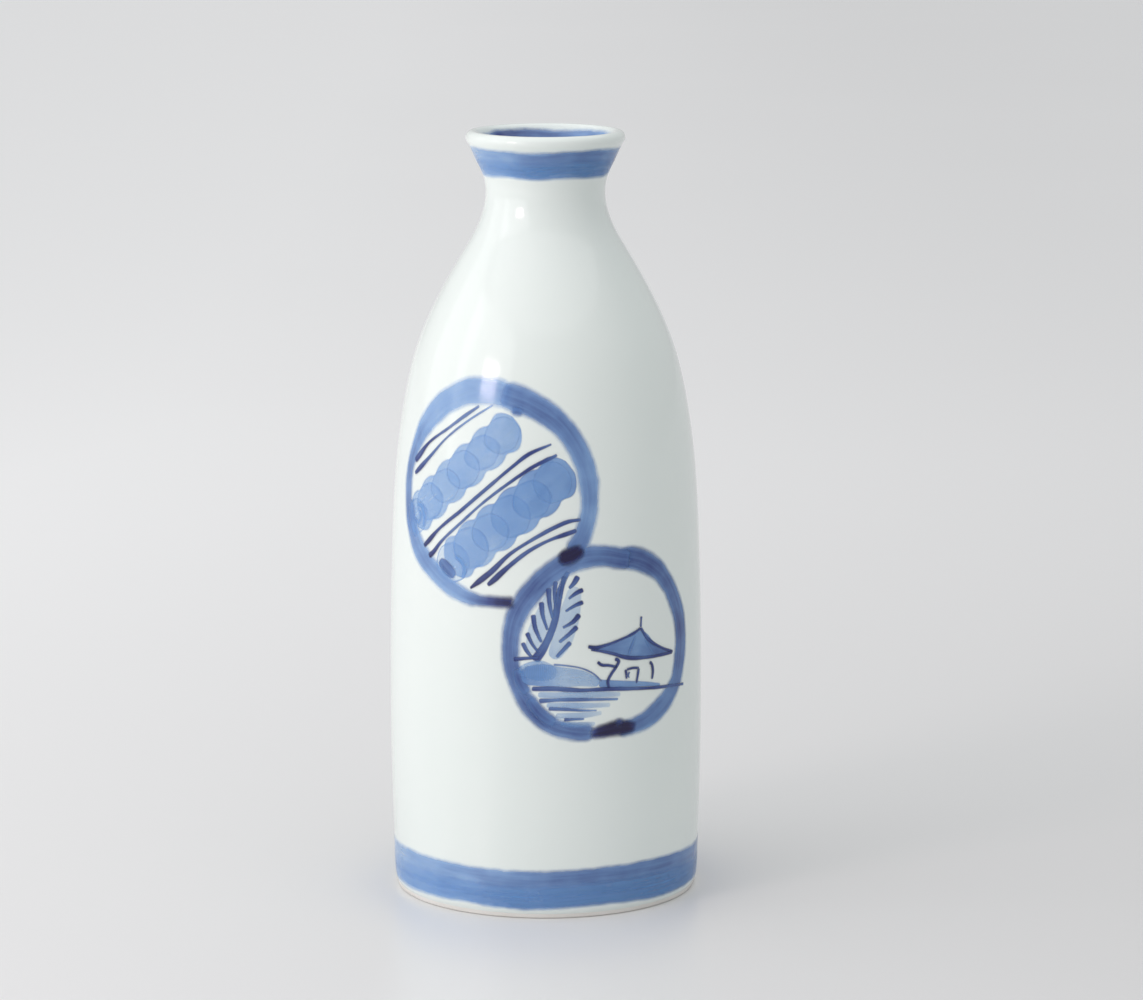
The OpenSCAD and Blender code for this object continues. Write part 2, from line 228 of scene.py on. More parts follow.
def turned(name, outline, steps):
    """A piece spun from an outline round the bottle's axis."""
    shape = bmesh.new()
    verts = [shape.verts.new((p.x, 0, p.y)) for p in outline]
    edges = [shape.edges.new(pair) for pair in zip(verts, verts[1:])]
    bmesh.ops.spin(
        shape, geom=verts + edges, cent=(0, 0, 0), axis=(0, 0, 1),
        angle=math.tau, steps=steps, use_merge=True,
    )
    bmesh.ops.remove_doubles(shape, verts=shape.verts, dist=0.002 * MM)
    bmesh.ops.recalc_face_normals(shape, faces=shape.faces)
    return finished(name, shape)


def finished(name, shape):
    """A smoothly shaded object made from the shape, which is used up."""
    for face in shape.faces:
        face.smooth = True
    mesh = bpy.data.meshes.new(name)
    shape.to_mesh(mesh)
    shape.free()
    piece = bpy.data.objects.new(name, mesh)
    bpy.context.scene.collection.objects.link(piece)
    return piece


def set_in_place(piece, material, slot, *nodes):
    """Gives the piece its finish, hangs it from the root and hides the bottle's layers that it stands
    for.
    """
    piece.data.materials.append(material)
    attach(piece, "root")
    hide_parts(*nodes)


# ---- Material helpers ----

class Recipe:
    """A new material, with a short way to add nodes to it and join them up."""

    def __init__(self, name):
        self.material = bpy.data.materials.new(name)
        self.material.use_nodes = True
        self.nodes = self.material.node_tree.nodes
        self.links = self.material.node_tree.links
        self.nodes.clear()

    def add(self, kind, sockets=None, **settings):
        node = self.nodes.new("ShaderNode" + kind)
        for key, value in settings.items():
            setattr(node, key, value)
        for key, value in (sockets or {}).items():
            self.give(node.inputs[key], value)
        return node

    def give(self, socket, value):
        if isinstance(value, bpy.types.NodeSocket):
            self.links.new(value, socket)
        else:
            socket.default_value = value

    def maths(self, operation, *values, clamp=False):
        node = self.add("Math", operation=operation, use_clamp=clamp)
        for socket, value in zip(node.inputs, values):
            self.give(socket, value)
        return node.outputs[0]

    def product(self, first, *others):
        for other in others:
            first = self.maths("MULTIPLY", first, other)
        return first

    def span(self, value, low, high, to_low=0, to_high=1, smooth=False):
        node = self.add("MapRange", {
            "Value": value, "From Min": low, "From Max": high,
            "To Min": to_low, "To Max": to_high,
        })
        if smooth:
            node.interpolation_type = "SMOOTHSTEP"
        return node.outputs[0]

    def place(self):
        return self.add("TexCoord").outputs["Object"]

    def noise(self, where, scale, detail=2, rough=0.5):
        node = self.add("TexNoise", {
            "Vector": where, "Scale": scale, "Detail": detail, "Roughness": rough,
        })
        return node.outputs["Fac"]

    def stretched(self, where, scale):
        return self.add("Mapping", {"Vector": where, "Scale": scale}).outputs[0]

    def ramp(self, value, stops):
        node = self.add("ValToRGB", {"Fac": value})
        elements = node.color_ramp.elements
        while len(elements) < len(stops):
            elements.new(0.5)
        for element, (place, colour) in zip(elements, stops):
            element.position = place
            element.color = (*colour, 1)
        return node.outputs[0]

    def surface(self, sockets):
        surface = self.add("BsdfPrincipled", sockets)
        out = self.add("OutputMaterial")
        self.links.new(surface.outputs[0], out.inputs["Surface"])
        return self.material


GLOSS_ROUGHNESS = 0.12
GLAZE_IOR = 1.52


def glaze_ripple(recipe):
    """The faint waves of a hand-finished wall and the orange-peel of its glaze."""
    here = recipe.place()
    waves = recipe.noise(recipe.stretched(here, (28, 28, 60)), 1, 1)
    peel = recipe.product(recipe.noise(here, 420, 2), 0.03)
    height = recipe.maths("ADD", waves, peel)
    bump = recipe.add("Bump", {"Strength": 0.35, "Distance": 0.0004, "Height": height})
    return bump.outputs[0]


def porcelain_glaze():
    """White porcelain under clear, faintly blue-green gloss glaze."""
    recipe = Recipe("glazed white porcelain")
    cloud = recipe.noise(recipe.place(), 26, 3)
    return recipe.surface({
        "Base Color": recipe.ramp(cloud, [(0.3, (0.80, 0.865, 0.84)), (0.7, (0.82, 0.88, 0.855))]),
        "Roughness": GLOSS_ROUGHNESS,
        "IOR": GLAZE_IOR,
        "Normal": glaze_ripple(recipe),
    })


def bare_clay():
    """Fired porcelain without glaze: dry, fine-grained and a little warm."""
    recipe = Recipe("bare fired porcelain")
    grain = recipe.noise(recipe.place(), 1800, 4, 0.7)
    patches = recipe.noise(recipe.place(), 90, 3)
    bump = recipe.add("Bump", {"Strength": 0.5, "Distance": 0.0001, "Height": grain})
    return recipe.surface({
        "Base Color": recipe.ramp(patches, [(0.3, (0.74, 0.72, 0.68)), (0.7, (0.80, 0.785, 0.755))]),
        "Roughness": recipe.span(grain, 0.3, 0.7, 0.7, 0.9),
        "Normal": bump.outputs[0],
    })


DEEPEST = 1.5               # the load at which cobalt is as dark as it gets
COVER = 4.2                 # how fast a stronger load hides the white below

# Cobalt from a thin wash to the near-black where the brush was set down
COBALT = [
    (0.00, (0.165, 0.385, 0.730)),
    (0.20, (0.150, 0.325, 0.660)),
    (0.27, (0.118, 0.246, 0.535)),
    (0.40, (0.078, 0.153, 0.375)),
    (0.57, (0.032, 0.058, 0.225)),
    (0.80, (0.010, 0.012, 0.085)),
    (1.00, (0.004, 0.001, 0.045)),
]


def cobalt(name, feather, streaks, rim_width):
    """Cobalt under the glaze. Its load, its rim and the distance to the stroke's edge are the
    piece's own. feather is the softness of the edge in mm and rim_width that of its rim."""
    recipe = Recipe(name)
    here = recipe.place()
    brush = recipe.add("UVMap", uv_map="brush").outputs[0]
    load, edge, rim = (
        recipe.add("Attribute", attribute_name=kept).outputs["Fac"] for kept in ("load", "edge", "rim")
    )
    hairs = recipe.noise(recipe.stretched(brush, (0.05, 1.1, 1)), 1, 3, 0.6)
    flow = recipe.noise(here, 170, 3)
    wobble = recipe.noise(here, 260, 3)
    ragged = recipe.maths("ADD", edge, recipe.span(wobble, 0.3, 0.7, -feather / 9, feather / 9))
    soft = recipe.span(ragged, 0, feather, smooth=True)
    near_edge = recipe.span(ragged, feather * 0.6, feather * 0.6 + rim_width, 1, 0, smooth=True)
    rimmed = recipe.maths("MULTIPLY_ADD", near_edge, rim, 1.0)
    streaked = recipe.span(hairs, 0.3, 0.7, 1 - streaks, 1 + streaks)
    blotched = recipe.span(flow, 0.3, 0.7, 0.82, 1.18)
    strength = recipe.product(load, streaked, rimmed, blotched)
    hidden = recipe.maths("EXPONENT", recipe.product(strength, -COVER))
    cover = recipe.maths("SUBTRACT", 1.0, hidden, clamp=True)
    return recipe.surface({
        "Base Color": recipe.ramp(recipe.product(strength, 1 / DEEPEST), COBALT),
        "Roughness": GLOSS_ROUGHNESS,
        "IOR": GLAZE_IOR,
        "Alpha": recipe.product(cover, soft),
        "Normal": glaze_ripple(recipe),
    })


# ---- Brush strokes ----
# A stroke is a list of (across, up, half of its width, load) in millimetres, along the way of
# the brush. Across is measured round the belly, at the belly's own radius, and up from the
# table or from the middle of the roundel that the stroke is in. Load is how much cobalt the
# brush left: 0.2 is a pale wash and 1 is near black.

FIRST_LIFT = 0.03 * MM      # how far the paint's sheet stands off the glaze, to be seen
LAYER_LIFT = 0.018 * MM     # and how far each later layer stands off the one before


class Painting:
    """A piece made of brush strokes, laid on the glaze layer by layer."""

    def __init__(self, name, feather, place=(0, 0), outline=outside, facing=1, lift=FIRST_LIFT):
        self.name = name
        self.feather = feather
        self.place = place
        self.outline = outline
        self.facing = facing
        self.lift = lift
        self.shape = bmesh.new()
        self.brush = self.shape.loops.layers.uv.new("brush")
        self.load = self.shape.verts.layers.float.new("load")
        self.edge = self.shape.verts.layers.float.new("edge")
        self.rim = self.shape.verts.layers.float.new("rim")

    def layer(self, strokes, rim=0.1, wobble=0.06, climb=0):
        """Lays strokes over those of the layers before. rim is how much darker their edges are,
        and climb how far a stroke rises along its way, to clear its own start."""
        for points in strokes:
            self.stroke(points, rim, wobble, climb)
        self.lift += LAYER_LIFT

    def stroke(self, points, rim, wobble, climb):
        width = max(p[2] for p in points)
        line = smooth_curve(points, min(max(width / 6, 0.12), 0.5))
        last = len(line) - 1
        way = [0]
        for a, b in zip(line, line[1:]):
            way.append(way[-1] + (b.xy - a.xy).length)
        rows = max(6, min(20, round(width / 0.22)))
        grid = bmesh.ops.create_grid(self.shape, x_segments=last, y_segments=rows, size=0.5)
        for vert in grid["verts"]:
            i = round((vert.co.x + 0.5) * last)
            side = vert.co.y * 2
            to_end = min(way[i], way[-1] - way[i])
            half = line[i].z + self.feather * 0.4
            half *= 1 + wobble * noise.noise(Vector((way[i] * 0.12, line[0].x, line[0].y)))
            blunt = half * 0.85
            if to_end < blunt:
                half *= math.sqrt(1 - (1 - to_end / blunt)**2)
            heading = (line[min(i + 1, last)].xy - line[max(i - 1, 0)].xy).normalized()
            flat = line[i].xy + Vector((-heading.y, heading.x)) * half * side
            vert.co = self.on_skin(flat.x + self.place[0], flat.y + self.place[1], climb * i / last)
            vert[self.load] = line[i].w
            vert[self.edge] = min(half * (1 - abs(side)), to_end)
            vert[self.rim] = rim
            for loop in vert.link_loops:
                loop[self.brush].uv = (way[i], half * side)

    def on_skin(self, across, up, raised):
        turn = across * MM / belly_radius
        radius = radius_on(self.outline, up * MM) + (self.lift + raised) * self.facing
        return Vector((radius * math.sin(turn), -radius * math.cos(turn), up * MM))

    def done(self, material, slot):
        if self.facing < 0:
            bmesh.ops.reverse_faces(self.shape, faces=self.shape.faces)
        piece = finished(self.name, self.shape)
        piece.visible_shadow = False   # real paint has no height of its own to cast one
        set_in_place(piece, material, slot, self.name)


# ---- Painted bands ----

BAND_FEATHER = 1.3
ROUND_ABOUT = [-113, -90, -72, -55, -36, -20, -5, 12, 30, 46, 62, 80, 98, 113]
HALF_ROUND = 110     # mm, half the way round the belly
DARKEST_AT = 25      # mm to the right of the front
FRONT_DARKENING = 0.65    # how much darker the band is made there than on average


def round_stroke(low, high, sway, load, turned_by):
    """A stroke right round the bottle between two heights in mm, its edges swaying a little. It
    starts and ends at the back and is darkest near the front, unless turned."""
    points = []
    for i, across in enumerate(ROUND_ABOUT):
        top = high + sway * math.sin(i * 1.9)
        bottom = low + sway * math.sin(i * 2.7 + 1)
        front = math.cos(math.pi * (across - DARKEST_AT) / HALF_ROUND)
        strength = load * (1 + FRONT_DARKENING * front + 0.06 * math.sin(i * 2.3))
        points.append((across + turned_by, (top + bottom) / 2, (top - bottom) / 2, strength))
    return points


def bands():
    brushed = cobalt("brushed cobalt band", BAND_FEATHER, 0.2, 0.8)
    half_way_round = math.pi * belly_radius / MM
    for node, outline, facing, load, turned_by in (
        ("foot_band", outside, 1, 0.30, 0),
        ("neck_band", outside, 1, 0.28, 0),
        # Turned half way round, the mouth band is darkest on the inner wall at the back, seen across
        # the mouth: real cobalt, made darker there partly as painted shade inside the neck
        ("mouth_band", inside, -1, 0.40, half_way_round),
    ):
        low, high = (end.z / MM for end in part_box(node))
        width = high - low
        band = Painting(node, BAND_FEATHER, outline=outline, facing=facing)
        streak = low + width * 0.32
        # The whole band, a second pass over its lower part and one dark streak
        for lower, upper, sway, share in (
            (low, high, 0.03, 1),
            (low, high - width * 0.4, 0.04, 0.35),
            (streak - 0.5, streak + 0.5, 0.03, 0.5),
        ):
            stroke = round_stroke(lower, upper, width * sway, load * share, turned_by)
            band.layer([stroke], rim=-0.15, wobble=0, climb=LAYER_LIFT * 0.8)
        band.done(brushed, "cobalt_band")


# ---- Upper roundel: a round brush stroke round two dabbed washes and paired fine lines ----

UPPER_RING = [
    [
        (5.8, 20.9, 3.0, 0.32), (0, 21.6, 3.1, 0.29), (-6, 21.3, 3.1, 0.29),
        (-12.4, 18.7, 3.1, 0.31), (-18.4, 14, 2.9, 0.32), (-22.8, 7.6, 2.1, 0.4),
        (-24.6, 1, 1.8, 0.5), (-24, -4.8, 1.8, 0.5), (-21.6, -10.4, 2.3, 0.42),
        (-18.2, -14.9, 2.6, 0.36), (-13.2, -18.8, 2.4, 0.34), (-8, -21.8, 2.0, 0.36),
        (-3, -23.5, 1.6, 0.45), (0, -23.8, 1.3, 0.8), (3.5, -23.8, 1.3, 1.1),
        (7.6, -23.7, 1.5, 1.3),
    ],
    [
        (2.4, 21.5, 2.9, 0.42), (10.5, 19.2, 3.0, 0.52), (17, 15.4, 2.7, 0.55),
        (21.6, 9.5, 2.5, 0.43), (24, 1.5, 2.4, 0.36), (23.8, -4, 2.1, 0.36),
        (21.6, -10.4, 2.2, 0.5), (19.2, -13.4, 2.2, 0.6),
    ],
]
UPPER_ACCENTS = [
    [
        (-22.4, -3.5, 0.6, 0.3), (-22.5, -6.5, 1.2, 0.42), (-21.6, -9.5, 1.1, 0.38),
        (-19.6, -12.1, 0.7, 0.25),
    ],
    [(5.2, 17.8, 0.8, 0.45), (7.1, 17.7, 1, 0.55), (9, 17.4, 0.8, 0.4)],
    [(16.2, -14, 0.8, 1.3), (18, -13.8, 1.7, 1.5), (20, -13.2, 1.9, 1.5), (22.6, -11.4, 0.9, 1.3)],
]
WASH_SWIRLS = [
    [
        (-17.7, -9.5, 0.4, 0.2), (-17.2, -7.3, 0.5, 0.25), (-18.2, -5, 0.5, 0.22),
        (-20.2, -4.6, 0.5, 0.2),
    ],
    [
        (-20.6, -7.9, 0.4, 0.2), (-19.2, -8.7, 0.5, 0.24), (-18.6, -7.3, 0.5, 0.24),
        (-19.3, -5.9, 0.4, 0.2),
    ],
    [
        (-11.8, -15.7, 0.8, 0.45), (-10.4, -16.9, 1.4, 0.6), (-8.6, -18.2, 1.4, 0.6),
        (-7, -19.1, 0.8, 0.4),
    ],
    [
        (-7.5, -14.5, 0.4, 0.2), (-5.7, -15.5, 0.6, 0.24), (-4.8, -17.5, 0.6, 0.24),
        (-5.4, -19.5, 0.5, 0.2),
    ],
]
UPPER_LINES = [
    [
        (-22.2, 4.5, 0.6, 0.8), (-20.6, 5.9, 0.7, 0.85), (-18, 8.5, 0.5, 0.8),
        (-11, 13, 0.42, 0.7), (-6, 16.3, 0.4, 0.65), (-2.6, 18.4, 0.25, 0.5),
    ],
    [
        (-21.9, 1.8, 0.5, 0.75), (-20.5, 2.8, 0.65, 0.8), (-16.5, 6.1, 0.42, 0.7),
        (-11.5, 10.7, 0.36, 0.65), (-5, 15.3, 0.3, 0.5), (1, 18.8, 0.2, 0.3),
    ],
    [
        (-17, -13.6, 0.6, 0.95), (-15.6, -12.4, 0.75, 0.95), (-12.5, -9.5, 0.5, 0.85),
        (-6, -4.5, 0.45, 0.75), (0, 0.5, 0.45, 0.7), (6, 5.5, 0.45, 0.72), (10, 8.5, 0.5, 0.75),
        (15.5, 10.8, 0.25, 0.6),
    ],
    [
        (-15.2, -15.6, 0.75, 0.95), (-14.2, -14.9, 0.7, 0.95), (-11.5, -12, 0.45, 0.8),
        (-6, -7.2, 0.36, 0.65), (0, -2, 0.34, 0.6), (6, 2.5, 0.42, 0.7), (11, 5.8, 0.5, 0.78),
        (16.8, 8.5, 0.3, 0.6),
    ],
    [
        (-3.3, -21.3, 0.35, 0.95), (-1.5, -19.9, 0.7, 0.98), (1.5, -17.5, 0.6, 0.9),
        (6, -13.2, 0.45, 0.8), (11, -9.9, 0.42, 0.75), (16, -7.2, 0.42, 0.72),
        (19, -6, 0.4, 0.7), (22, -5.6, 0.25, 0.6),
    ],
    [
        (0.9, -20.3, 0.4, 0.95), (2.2, -19.2, 0.7, 0.98), (6, -15.7, 0.5, 0.85),
        (11, -11.9, 0.45, 0.75), (16, -9.5, 0.42, 0.72), (18.5, -8.7, 0.5, 0.78),
        (21, -7.9, 0.4, 0.7),
    ],
]


WASH_SWELL = 0.9     # mm from a wash's narrowest half width to its widest
SWELL_STEPS = 4      # points along each swelling
DAB_LEAN = 0.3       # how far a dab leans along the wash, to 1 across it
DAB_GIRTH = 0.76     # half a dab's width, in shares of the way between two dabs


def scalloped(start, end, count, half, start_load, end_load):
    """A broad stroke from start to end, its sides swelling at each of its dabs."""
    start, end = Vector(start), Vector(end)
    steps = count * SWELL_STEPS
    points = []
    for i in range(steps + 1):
        share = i / steps
        swell = WASH_SWELL * (abs(math.sin(math.pi * i / SWELL_STEPS)) - 0.5)
        load = start_load + (end_load - start_load) * share
        points.append((*start.lerp(end, share), half + swell, load))
    return points


def dabs(start, end, count, half, load):
    """Short strokes across a line from start to end, each overlapping the one before."""
    start, end = Vector(start), Vector(end)
    along = (end - start).normalized()
    across = (Vector((-along.y, along.x)) + along * DAB_LEAN).normalized()
    girth = (end - start).length / count * DAB_GIRTH
    strokes = []
    for i in range(count):
        here = start.lerp(end, (i + 0.5) / count)
        reach = across * half * (1 + 0.06 * math.sin(i * 2.6))
        strength = load * (1 + 0.3 * math.sin(i * 2.1))
        strokes.append([
            (*(here + reach), girth * 0.75, strength), (*here, girth, strength),
            (*(here - reach), girth * 0.75, strength),
        ])
    return strokes


def place_of(node, strokes):
    """The middle of a roundel, from where its ring lies on the belly: (across, up) in mm."""
    low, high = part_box(node)
    here = radius_on(outside, (low.z + high.z) / 2)
    turns = [math.asin(x / here) for x in (low.x, high.x)]
    points = [p for stroke in strokes for p in stroke]
    own = [
        (min(p[i] - p[2] for p in points) + max(p[i] + p[2] for p in points)) / 2 for i in (0, 1)
    ]
    return sum(turns) / 2 * belly_radius / MM - own[0], (low.z + high.z) / 2 / MM - own[1]


BROAD_FEATHER = 1.5
WASH_FEATHER = 0.6
FINE_FEATHER = 0.34
DAB_RIM = 3.4        # dabs show mostly as the darker rims where they overlap
UPPER_WASH = [
    scalloped((-21.5, -8.4), (7.4, 15.4), 6, 4.4, 0.18, 0.19),
    scalloped((-9.5, -17.2), (20, 6), 6, 4.9, 0.18, 0.34),
]
WASH_DABS = (
    dabs((-23, -9.5), (6, 14.4), 6, 4.1, 0.045) + dabs((-10.5, -18), (18, 4.4), 6, 4.6, 0.055)
)


def upper_roundel(broad, pale, fine):
    place = place_of("upper_ring", UPPER_RING)
    wash = Painting("upper_wash", WASH_FEATHER, place)
    wash.layer(UPPER_WASH, rim=0.25)
    for strokes in (WASH_DABS[::3], WASH_DABS[1::3], WASH_DABS[2::3]):
        wash.layer(strokes, rim=DAB_RIM)
    wash.layer(WASH_SWIRLS)
    wash.done(pale, "cobalt_wash")
    ring = Painting("upper_ring", BROAD_FEATHER, place, lift=wash.lift)
    for strokes in (UPPER_RING[:1], UPPER_RING[1:], UPPER_ACCENTS):
        ring.layer(strokes, rim=-0.2)
    ring.done(broad, "cobalt_stroke")
    lines = Painting("upper_lines", FINE_FEATHER, place, lift=ring.lift)
    lines.layer(UPPER_LINES, wobble=0.25)
    lines.done(fine, "cobalt_line")


# ---- Lower roundel: a rounded stroke round a tree on a hill, the water and a pavilion ----

LOWER_RING_LEFT = [
    [
        (6.4, 17.9, 2.5, 0.68), (3.5, 18.4, 2.6, 0.66), (-1, 19.3, 2.5, 0.56),
        (-5, 19.2, 2.6, 0.54), (-9, 18.2, 2.6, 0.56), (-13, 15.8, 2.6, 0.6),
        (-17.2, 11.6, 2.6, 0.62), (-20.4, 6.6, 2.5, 0.6), (-21.8, 0.4, 2.1, 0.6),
        (-21.2, -6, 2, 0.6), (-18.6, -12, 2, 0.6), (-14, -17, 2.1, 0.6),
        (-8, -19.2, 1.9, 0.6), (-3, -19.6, 1.8, 0.62),
    ],
]
LOWER_RING_RIGHT = [
    [
        (2.4, 18.5, 2.4, 0.55), (6, 18.3, 2.6, 0.66), (11.2, 16.3, 2.5, 0.66),
        (16.2, 12, 2.3, 0.62), (19.6, 6.8, 2.3, 0.62), (21.6, 0.4, 2.3, 0.62),
        (21.3, -5.6, 2.3, 0.58), (19.2, -11.4, 2.3, 0.52), (15.4, -15, 2.4, 0.48),
        (11, -17.6, 2.3, 0.5), (5, -19.3, 2, 0.55), (2, -19.6, 1.9, 0.55),
    ],
]
LOWER_ACCENTS = [
    [
        (-4.8, -20, 0.9, 0.8), (-1.5, -19.5, 1.5, 1.5), (2, -19.1, 1.9, 1.5),
        (5, -19.2, 1.6, 1.5), (7.4, -19.5, 0.9, 1),
    ],
    [(1.4, -18.3, 0.6, 0.9), (2.6, -17.7, 0.8, 1), (3.8, -18.1, 0.6, 0.9)],
    [
        (-20.4, -4.6, 0.8, 0.4), (-19.8, -7, 1.4, 0.6), (-18.6, -9.6, 1.3, 0.6),
        (-17.4, -11, 0.8, 0.4),
    ],
    [
        (-17.9, -10.8, 0.8, 0.4), (-16.6, -13.1, 1.4, 0.6), (-14.5, -15.4, 1.5, 0.65),
        (-11.4, -17.4, 1, 0.5),
    ],
]
TREE_WASH = [
    [(-17.6, -1.7, 1, 0.06), (-16, 2, 2.3, 0.08), (-14, 6.5, 2.3, 0.09), (-11.4, 13, 1.4, 0.08)],
    [(-12.6, -2.9, 1.2, 0.14), (-10.6, 1, 2.2, 0.1), (-9, 6, 2.4, 0.09), (-7.4, 13, 1.4, 0.07)],
]
TREE = [
    [
        (-16.6, -3.4, 1.1, 0.75), (-15, -1.3, 1, 0.72), (-13.5, 1.5, 0.85, 0.68),
        (-12.2, 5, 0.8, 0.7), (-11.5, 8.5, 0.75, 0.7), (-10.9, 12, 0.7, 0.66),
        (-9.8, 14.8, 0.6, 0.6), (-9, 16.3, 0.5, 0.55),
    ],
    [(-19.1, 0.8, 0.5, 0.75), (-18.3, -0.9, 0.42, 0.68), (-17, -2.6, 0.3, 0.6)],
    [(-18.2, 3, 0.6, 0.8), (-17, 0.5, 0.42, 0.7), (-15.4, -1.7, 0.3, 0.6)],
    [(-16.8, 7, 0.62, 0.8), (-16.3, 3.9, 0.5, 0.7), (-14.9, 0.7, 0.3, 0.6)],
    [(-15, 9.8, 0.6, 0.8), (-14.7, 6.9, 0.5, 0.7), (-13.6, 3.4, 0.3, 0.6)],
    [(-13.4, 12.8, 0.6, 0.78), (-13.2, 9.5, 0.5, 0.7), (-12.5, 5.9, 0.3, 0.6)],
    [(-11.8, 14.3, 0.55, 0.75), (-12.1, 11.3, 0.45, 0.68), (-11.9, 8.3, 0.3, 0.6)],
    [(-9.9, 15.4, 0.5, 0.72), (-10.4, 12.9, 0.42, 0.66), (-10.8, 10.1, 0.3, 0.55)],
    [(-6.8, 15.3, 0.62, 0.82), (-7.8, 13.7, 0.5, 0.72), (-9, 12.5, 0.3, 0.6)],
    [(-5.6, 12.2, 0.62, 0.85), (-7.1, 11.6, 0.5, 0.75), (-9.1, 10.2, 0.3, 0.6)],
    [(-5.6, 9.5, 0.6, 0.82), (-7.5, 8.8, 0.45, 0.7), (-9.8, 7.5, 0.3, 0.6)],
    [(-6.5, 6.9, 0.66, 0.85), (-7.8, 5.4, 0.5, 0.74), (-10.4, 3.9, 0.3, 0.6)],
    [(-7, 4.2, 0.62, 0.82), (-8.8, 2.6, 0.45, 0.7), (-11.2, 0.7, 0.3, 0.6)],
    [(-8.5, 0.8, 0.55, 0.78), (-10, -0.7, 0.45, 0.68), (-11.8, -2.6, 0.3, 0.6)],
]
SHORE_WASH = [
    [
        (-19.6, -6.8, 1.9, 0.36), (-15, -6.5, 2.5, 0.3), (-11, -6.9, 2.3, 0.18),
        (-6.5, -7.3, 1.9, 0.14), (-2, -8.7, 0.9, 0.18),
    ],
    [(-20, -5.6, 1.2, 0.12), (-15.5, -5.5, 2.3, 0.16), (-11.4, -6.2, 1.2, 0.06)],
    [(-2.4, -8.7, 0.9, 0.3), (2, -9.3, 0.9, 0.34), (8, -9.9, 0.6, 0.3), (14, -10.9, 0.3, 0.25)],
    [
        (-15.8, -10.8, 0.6, 0.14), (-8, -11.1, 0.8, 0.16), (-2, -11.2, 0.7, 0.14),
        (3, -11.6, 0.5, 0.08),
    ],
    [(-14, -13.1, 0.6, 0.14), (-7, -13.4, 0.7, 0.16), (0.5, -13.7, 0.5, 0.06)],
    [(-12, -15.5, 0.6, 0.12), (-6.5, -15.6, 0.7, 0.13), (-1.5, -15.3, 0.5, 0.05)],
    [(-11, -17.3, 0.5, 0.12), (-7, -17.6, 0.6, 0.14), (-3, -17.6, 0.4, 0.08)],
]
SHORE = [
    [(-21.2, -3.1, 0.5, 0.85), (-18.5, -2.8, 0.36, 0.75), (-15.4, -2.6, 0.3, 0.7)],
    [
        (-12.4, -4.1, 0.2, 0.5), (-9, -4.5, 0.24, 0.52), (-6, -5.2, 0.26, 0.55),
        (-3.5, -6.5, 0.26, 0.58), (-1.6, -8.3, 0.2, 0.55),
    ],
    [
        (-17.2, -9.5, 0.5, 0.7), (-12, -9.5, 0.5, 0.75), (-6, -10, 0.45, 0.72),
        (-1, -10.1, 0.5, 0.78), (6, -10.7, 0.45, 0.75), (13, -11.4, 0.4, 0.72),
        (17, -11.7, 0.35, 0.7), (22.8, -12.3, 0.35, 0.65),
    ],
    [
        (-15.6, -12.2, 0.6, 0.75), (-12, -12, 0.42, 0.62), (-6, -12.1, 0.42, 0.6),
        (-2, -12.3, 0.4, 0.55), (2.4, -12.6, 0.3, 0.35),
    ],
    [
        (-13.6, -13.9, 0.45, 0.65), (-10, -14.1, 0.4, 0.6), (-6, -14.5, 0.34, 0.5),
        (-2.6, -14.7, 0.22, 0.3),
    ],
    [(-10.2, -16.4, 0.4, 0.78), (-8.6, -16.4, 0.3, 0.6), (-5.5, -16.4, 0.2, 0.4)],
]
PAVILION_ROOF = [
    [
        (-4.6, -0.7, 0.25, 0.6), (0, -1.1, 0.8, 0.5), (4, -1.2, 2.1, 0.38), (7.6, -0.9, 3, 0.36),
        (10.6, -2.3, 2, 0.5), (14, -3.4, 0.9, 0.55), (18, -4.1, 0.25, 0.6),
    ],
]
PAVILION = [
    [(6.8, 0.9, 0.2, 0.3), (5.6, -1.4, 0.3, 0.42), (4.8, -3.3, 0.2, 0.3)],
    [(9.1, 0.2, 0.2, 0.3), (10.6, -2, 0.3, 0.42), (11.7, -3.7, 0.2, 0.3)],
    [(8.4, 5.2, 0.3, 0.9), (8.3, 3.9, 0.24, 0.8), (8.2, 2.6, 0.3, 0.85)],
    [
        (8.3, 2.6, 0.32, 0.88), (6.5, 1.7, 0.3, 0.85), (3, 0.6, 0.28, 0.8),
        (-0.5, -0.3, 0.34, 0.85), (-3, -0.7, 0.45, 0.95), (-4.9, -0.4, 0.42, 0.98),
    ],
    [
        (8.1, 2.7, 0.38, 0.9), (10.3, -0.3, 0.36, 0.85), (13, -2, 0.3, 0.8),
        (16, -3.4, 0.34, 0.85), (18.4, -4.2, 0.3, 0.9),
    ],
    [
        (-4.2, -1.1, 0.3, 0.9), (-2, -1.6, 0.3, 0.8), (1, -2.4, 0.42, 0.85),
        (4, -3.5, 0.5, 0.88), (8, -4.1, 0.4, 0.85), (13, -4.3, 0.36, 0.82),
        (18.2, -4.3, 0.34, 0.9),
    ],
    [
        (-2.7, -3.8, 0.42, 0.92), (-1.8, -4.6, 0.42, 0.9), (0, -4.9, 0.36, 0.85),
        (2.2, -5.5, 0.36, 0.85),
    ],
    [
        (1.4, -3.5, 0.45, 0.9), (2.4, -4.1, 0.42, 0.9), (1.8, -5.4, 0.36, 0.88),
        (0.6, -6.9, 0.34, 0.85), (-0.2, -8.5, 0.34, 0.85), (0.1, -10, 0.28, 0.8),
    ],
    [(4.1, -6.1, 0.34, 0.88), (4.3, -7.2, 0.36, 0.88), (4.4, -8.5, 0.28, 0.8)],
    [(4.3, -6.3, 0.3, 0.82), (6, -6.1, 0.34, 0.86), (7.8, -6.3, 0.34, 0.88)],
    [(7.6, -6.2, 0.34, 0.88), (7.3, -7.9, 0.34, 0.86), (6.9, -9.7, 0.28, 0.8)],
    [(5.2, -6.7, 0.3, 0.6), (4.8, -7.7, 0.3, 0.6), (5.2, -8.3, 0.2, 0.5)],
    [
        (10.6, -5.2, 0.36, 0.85), (11.3, -6, 0.36, 0.88), (11.6, -7.5, 0.34, 0.85),
        (11.3, -9.4, 0.24, 0.75),
    ],
]


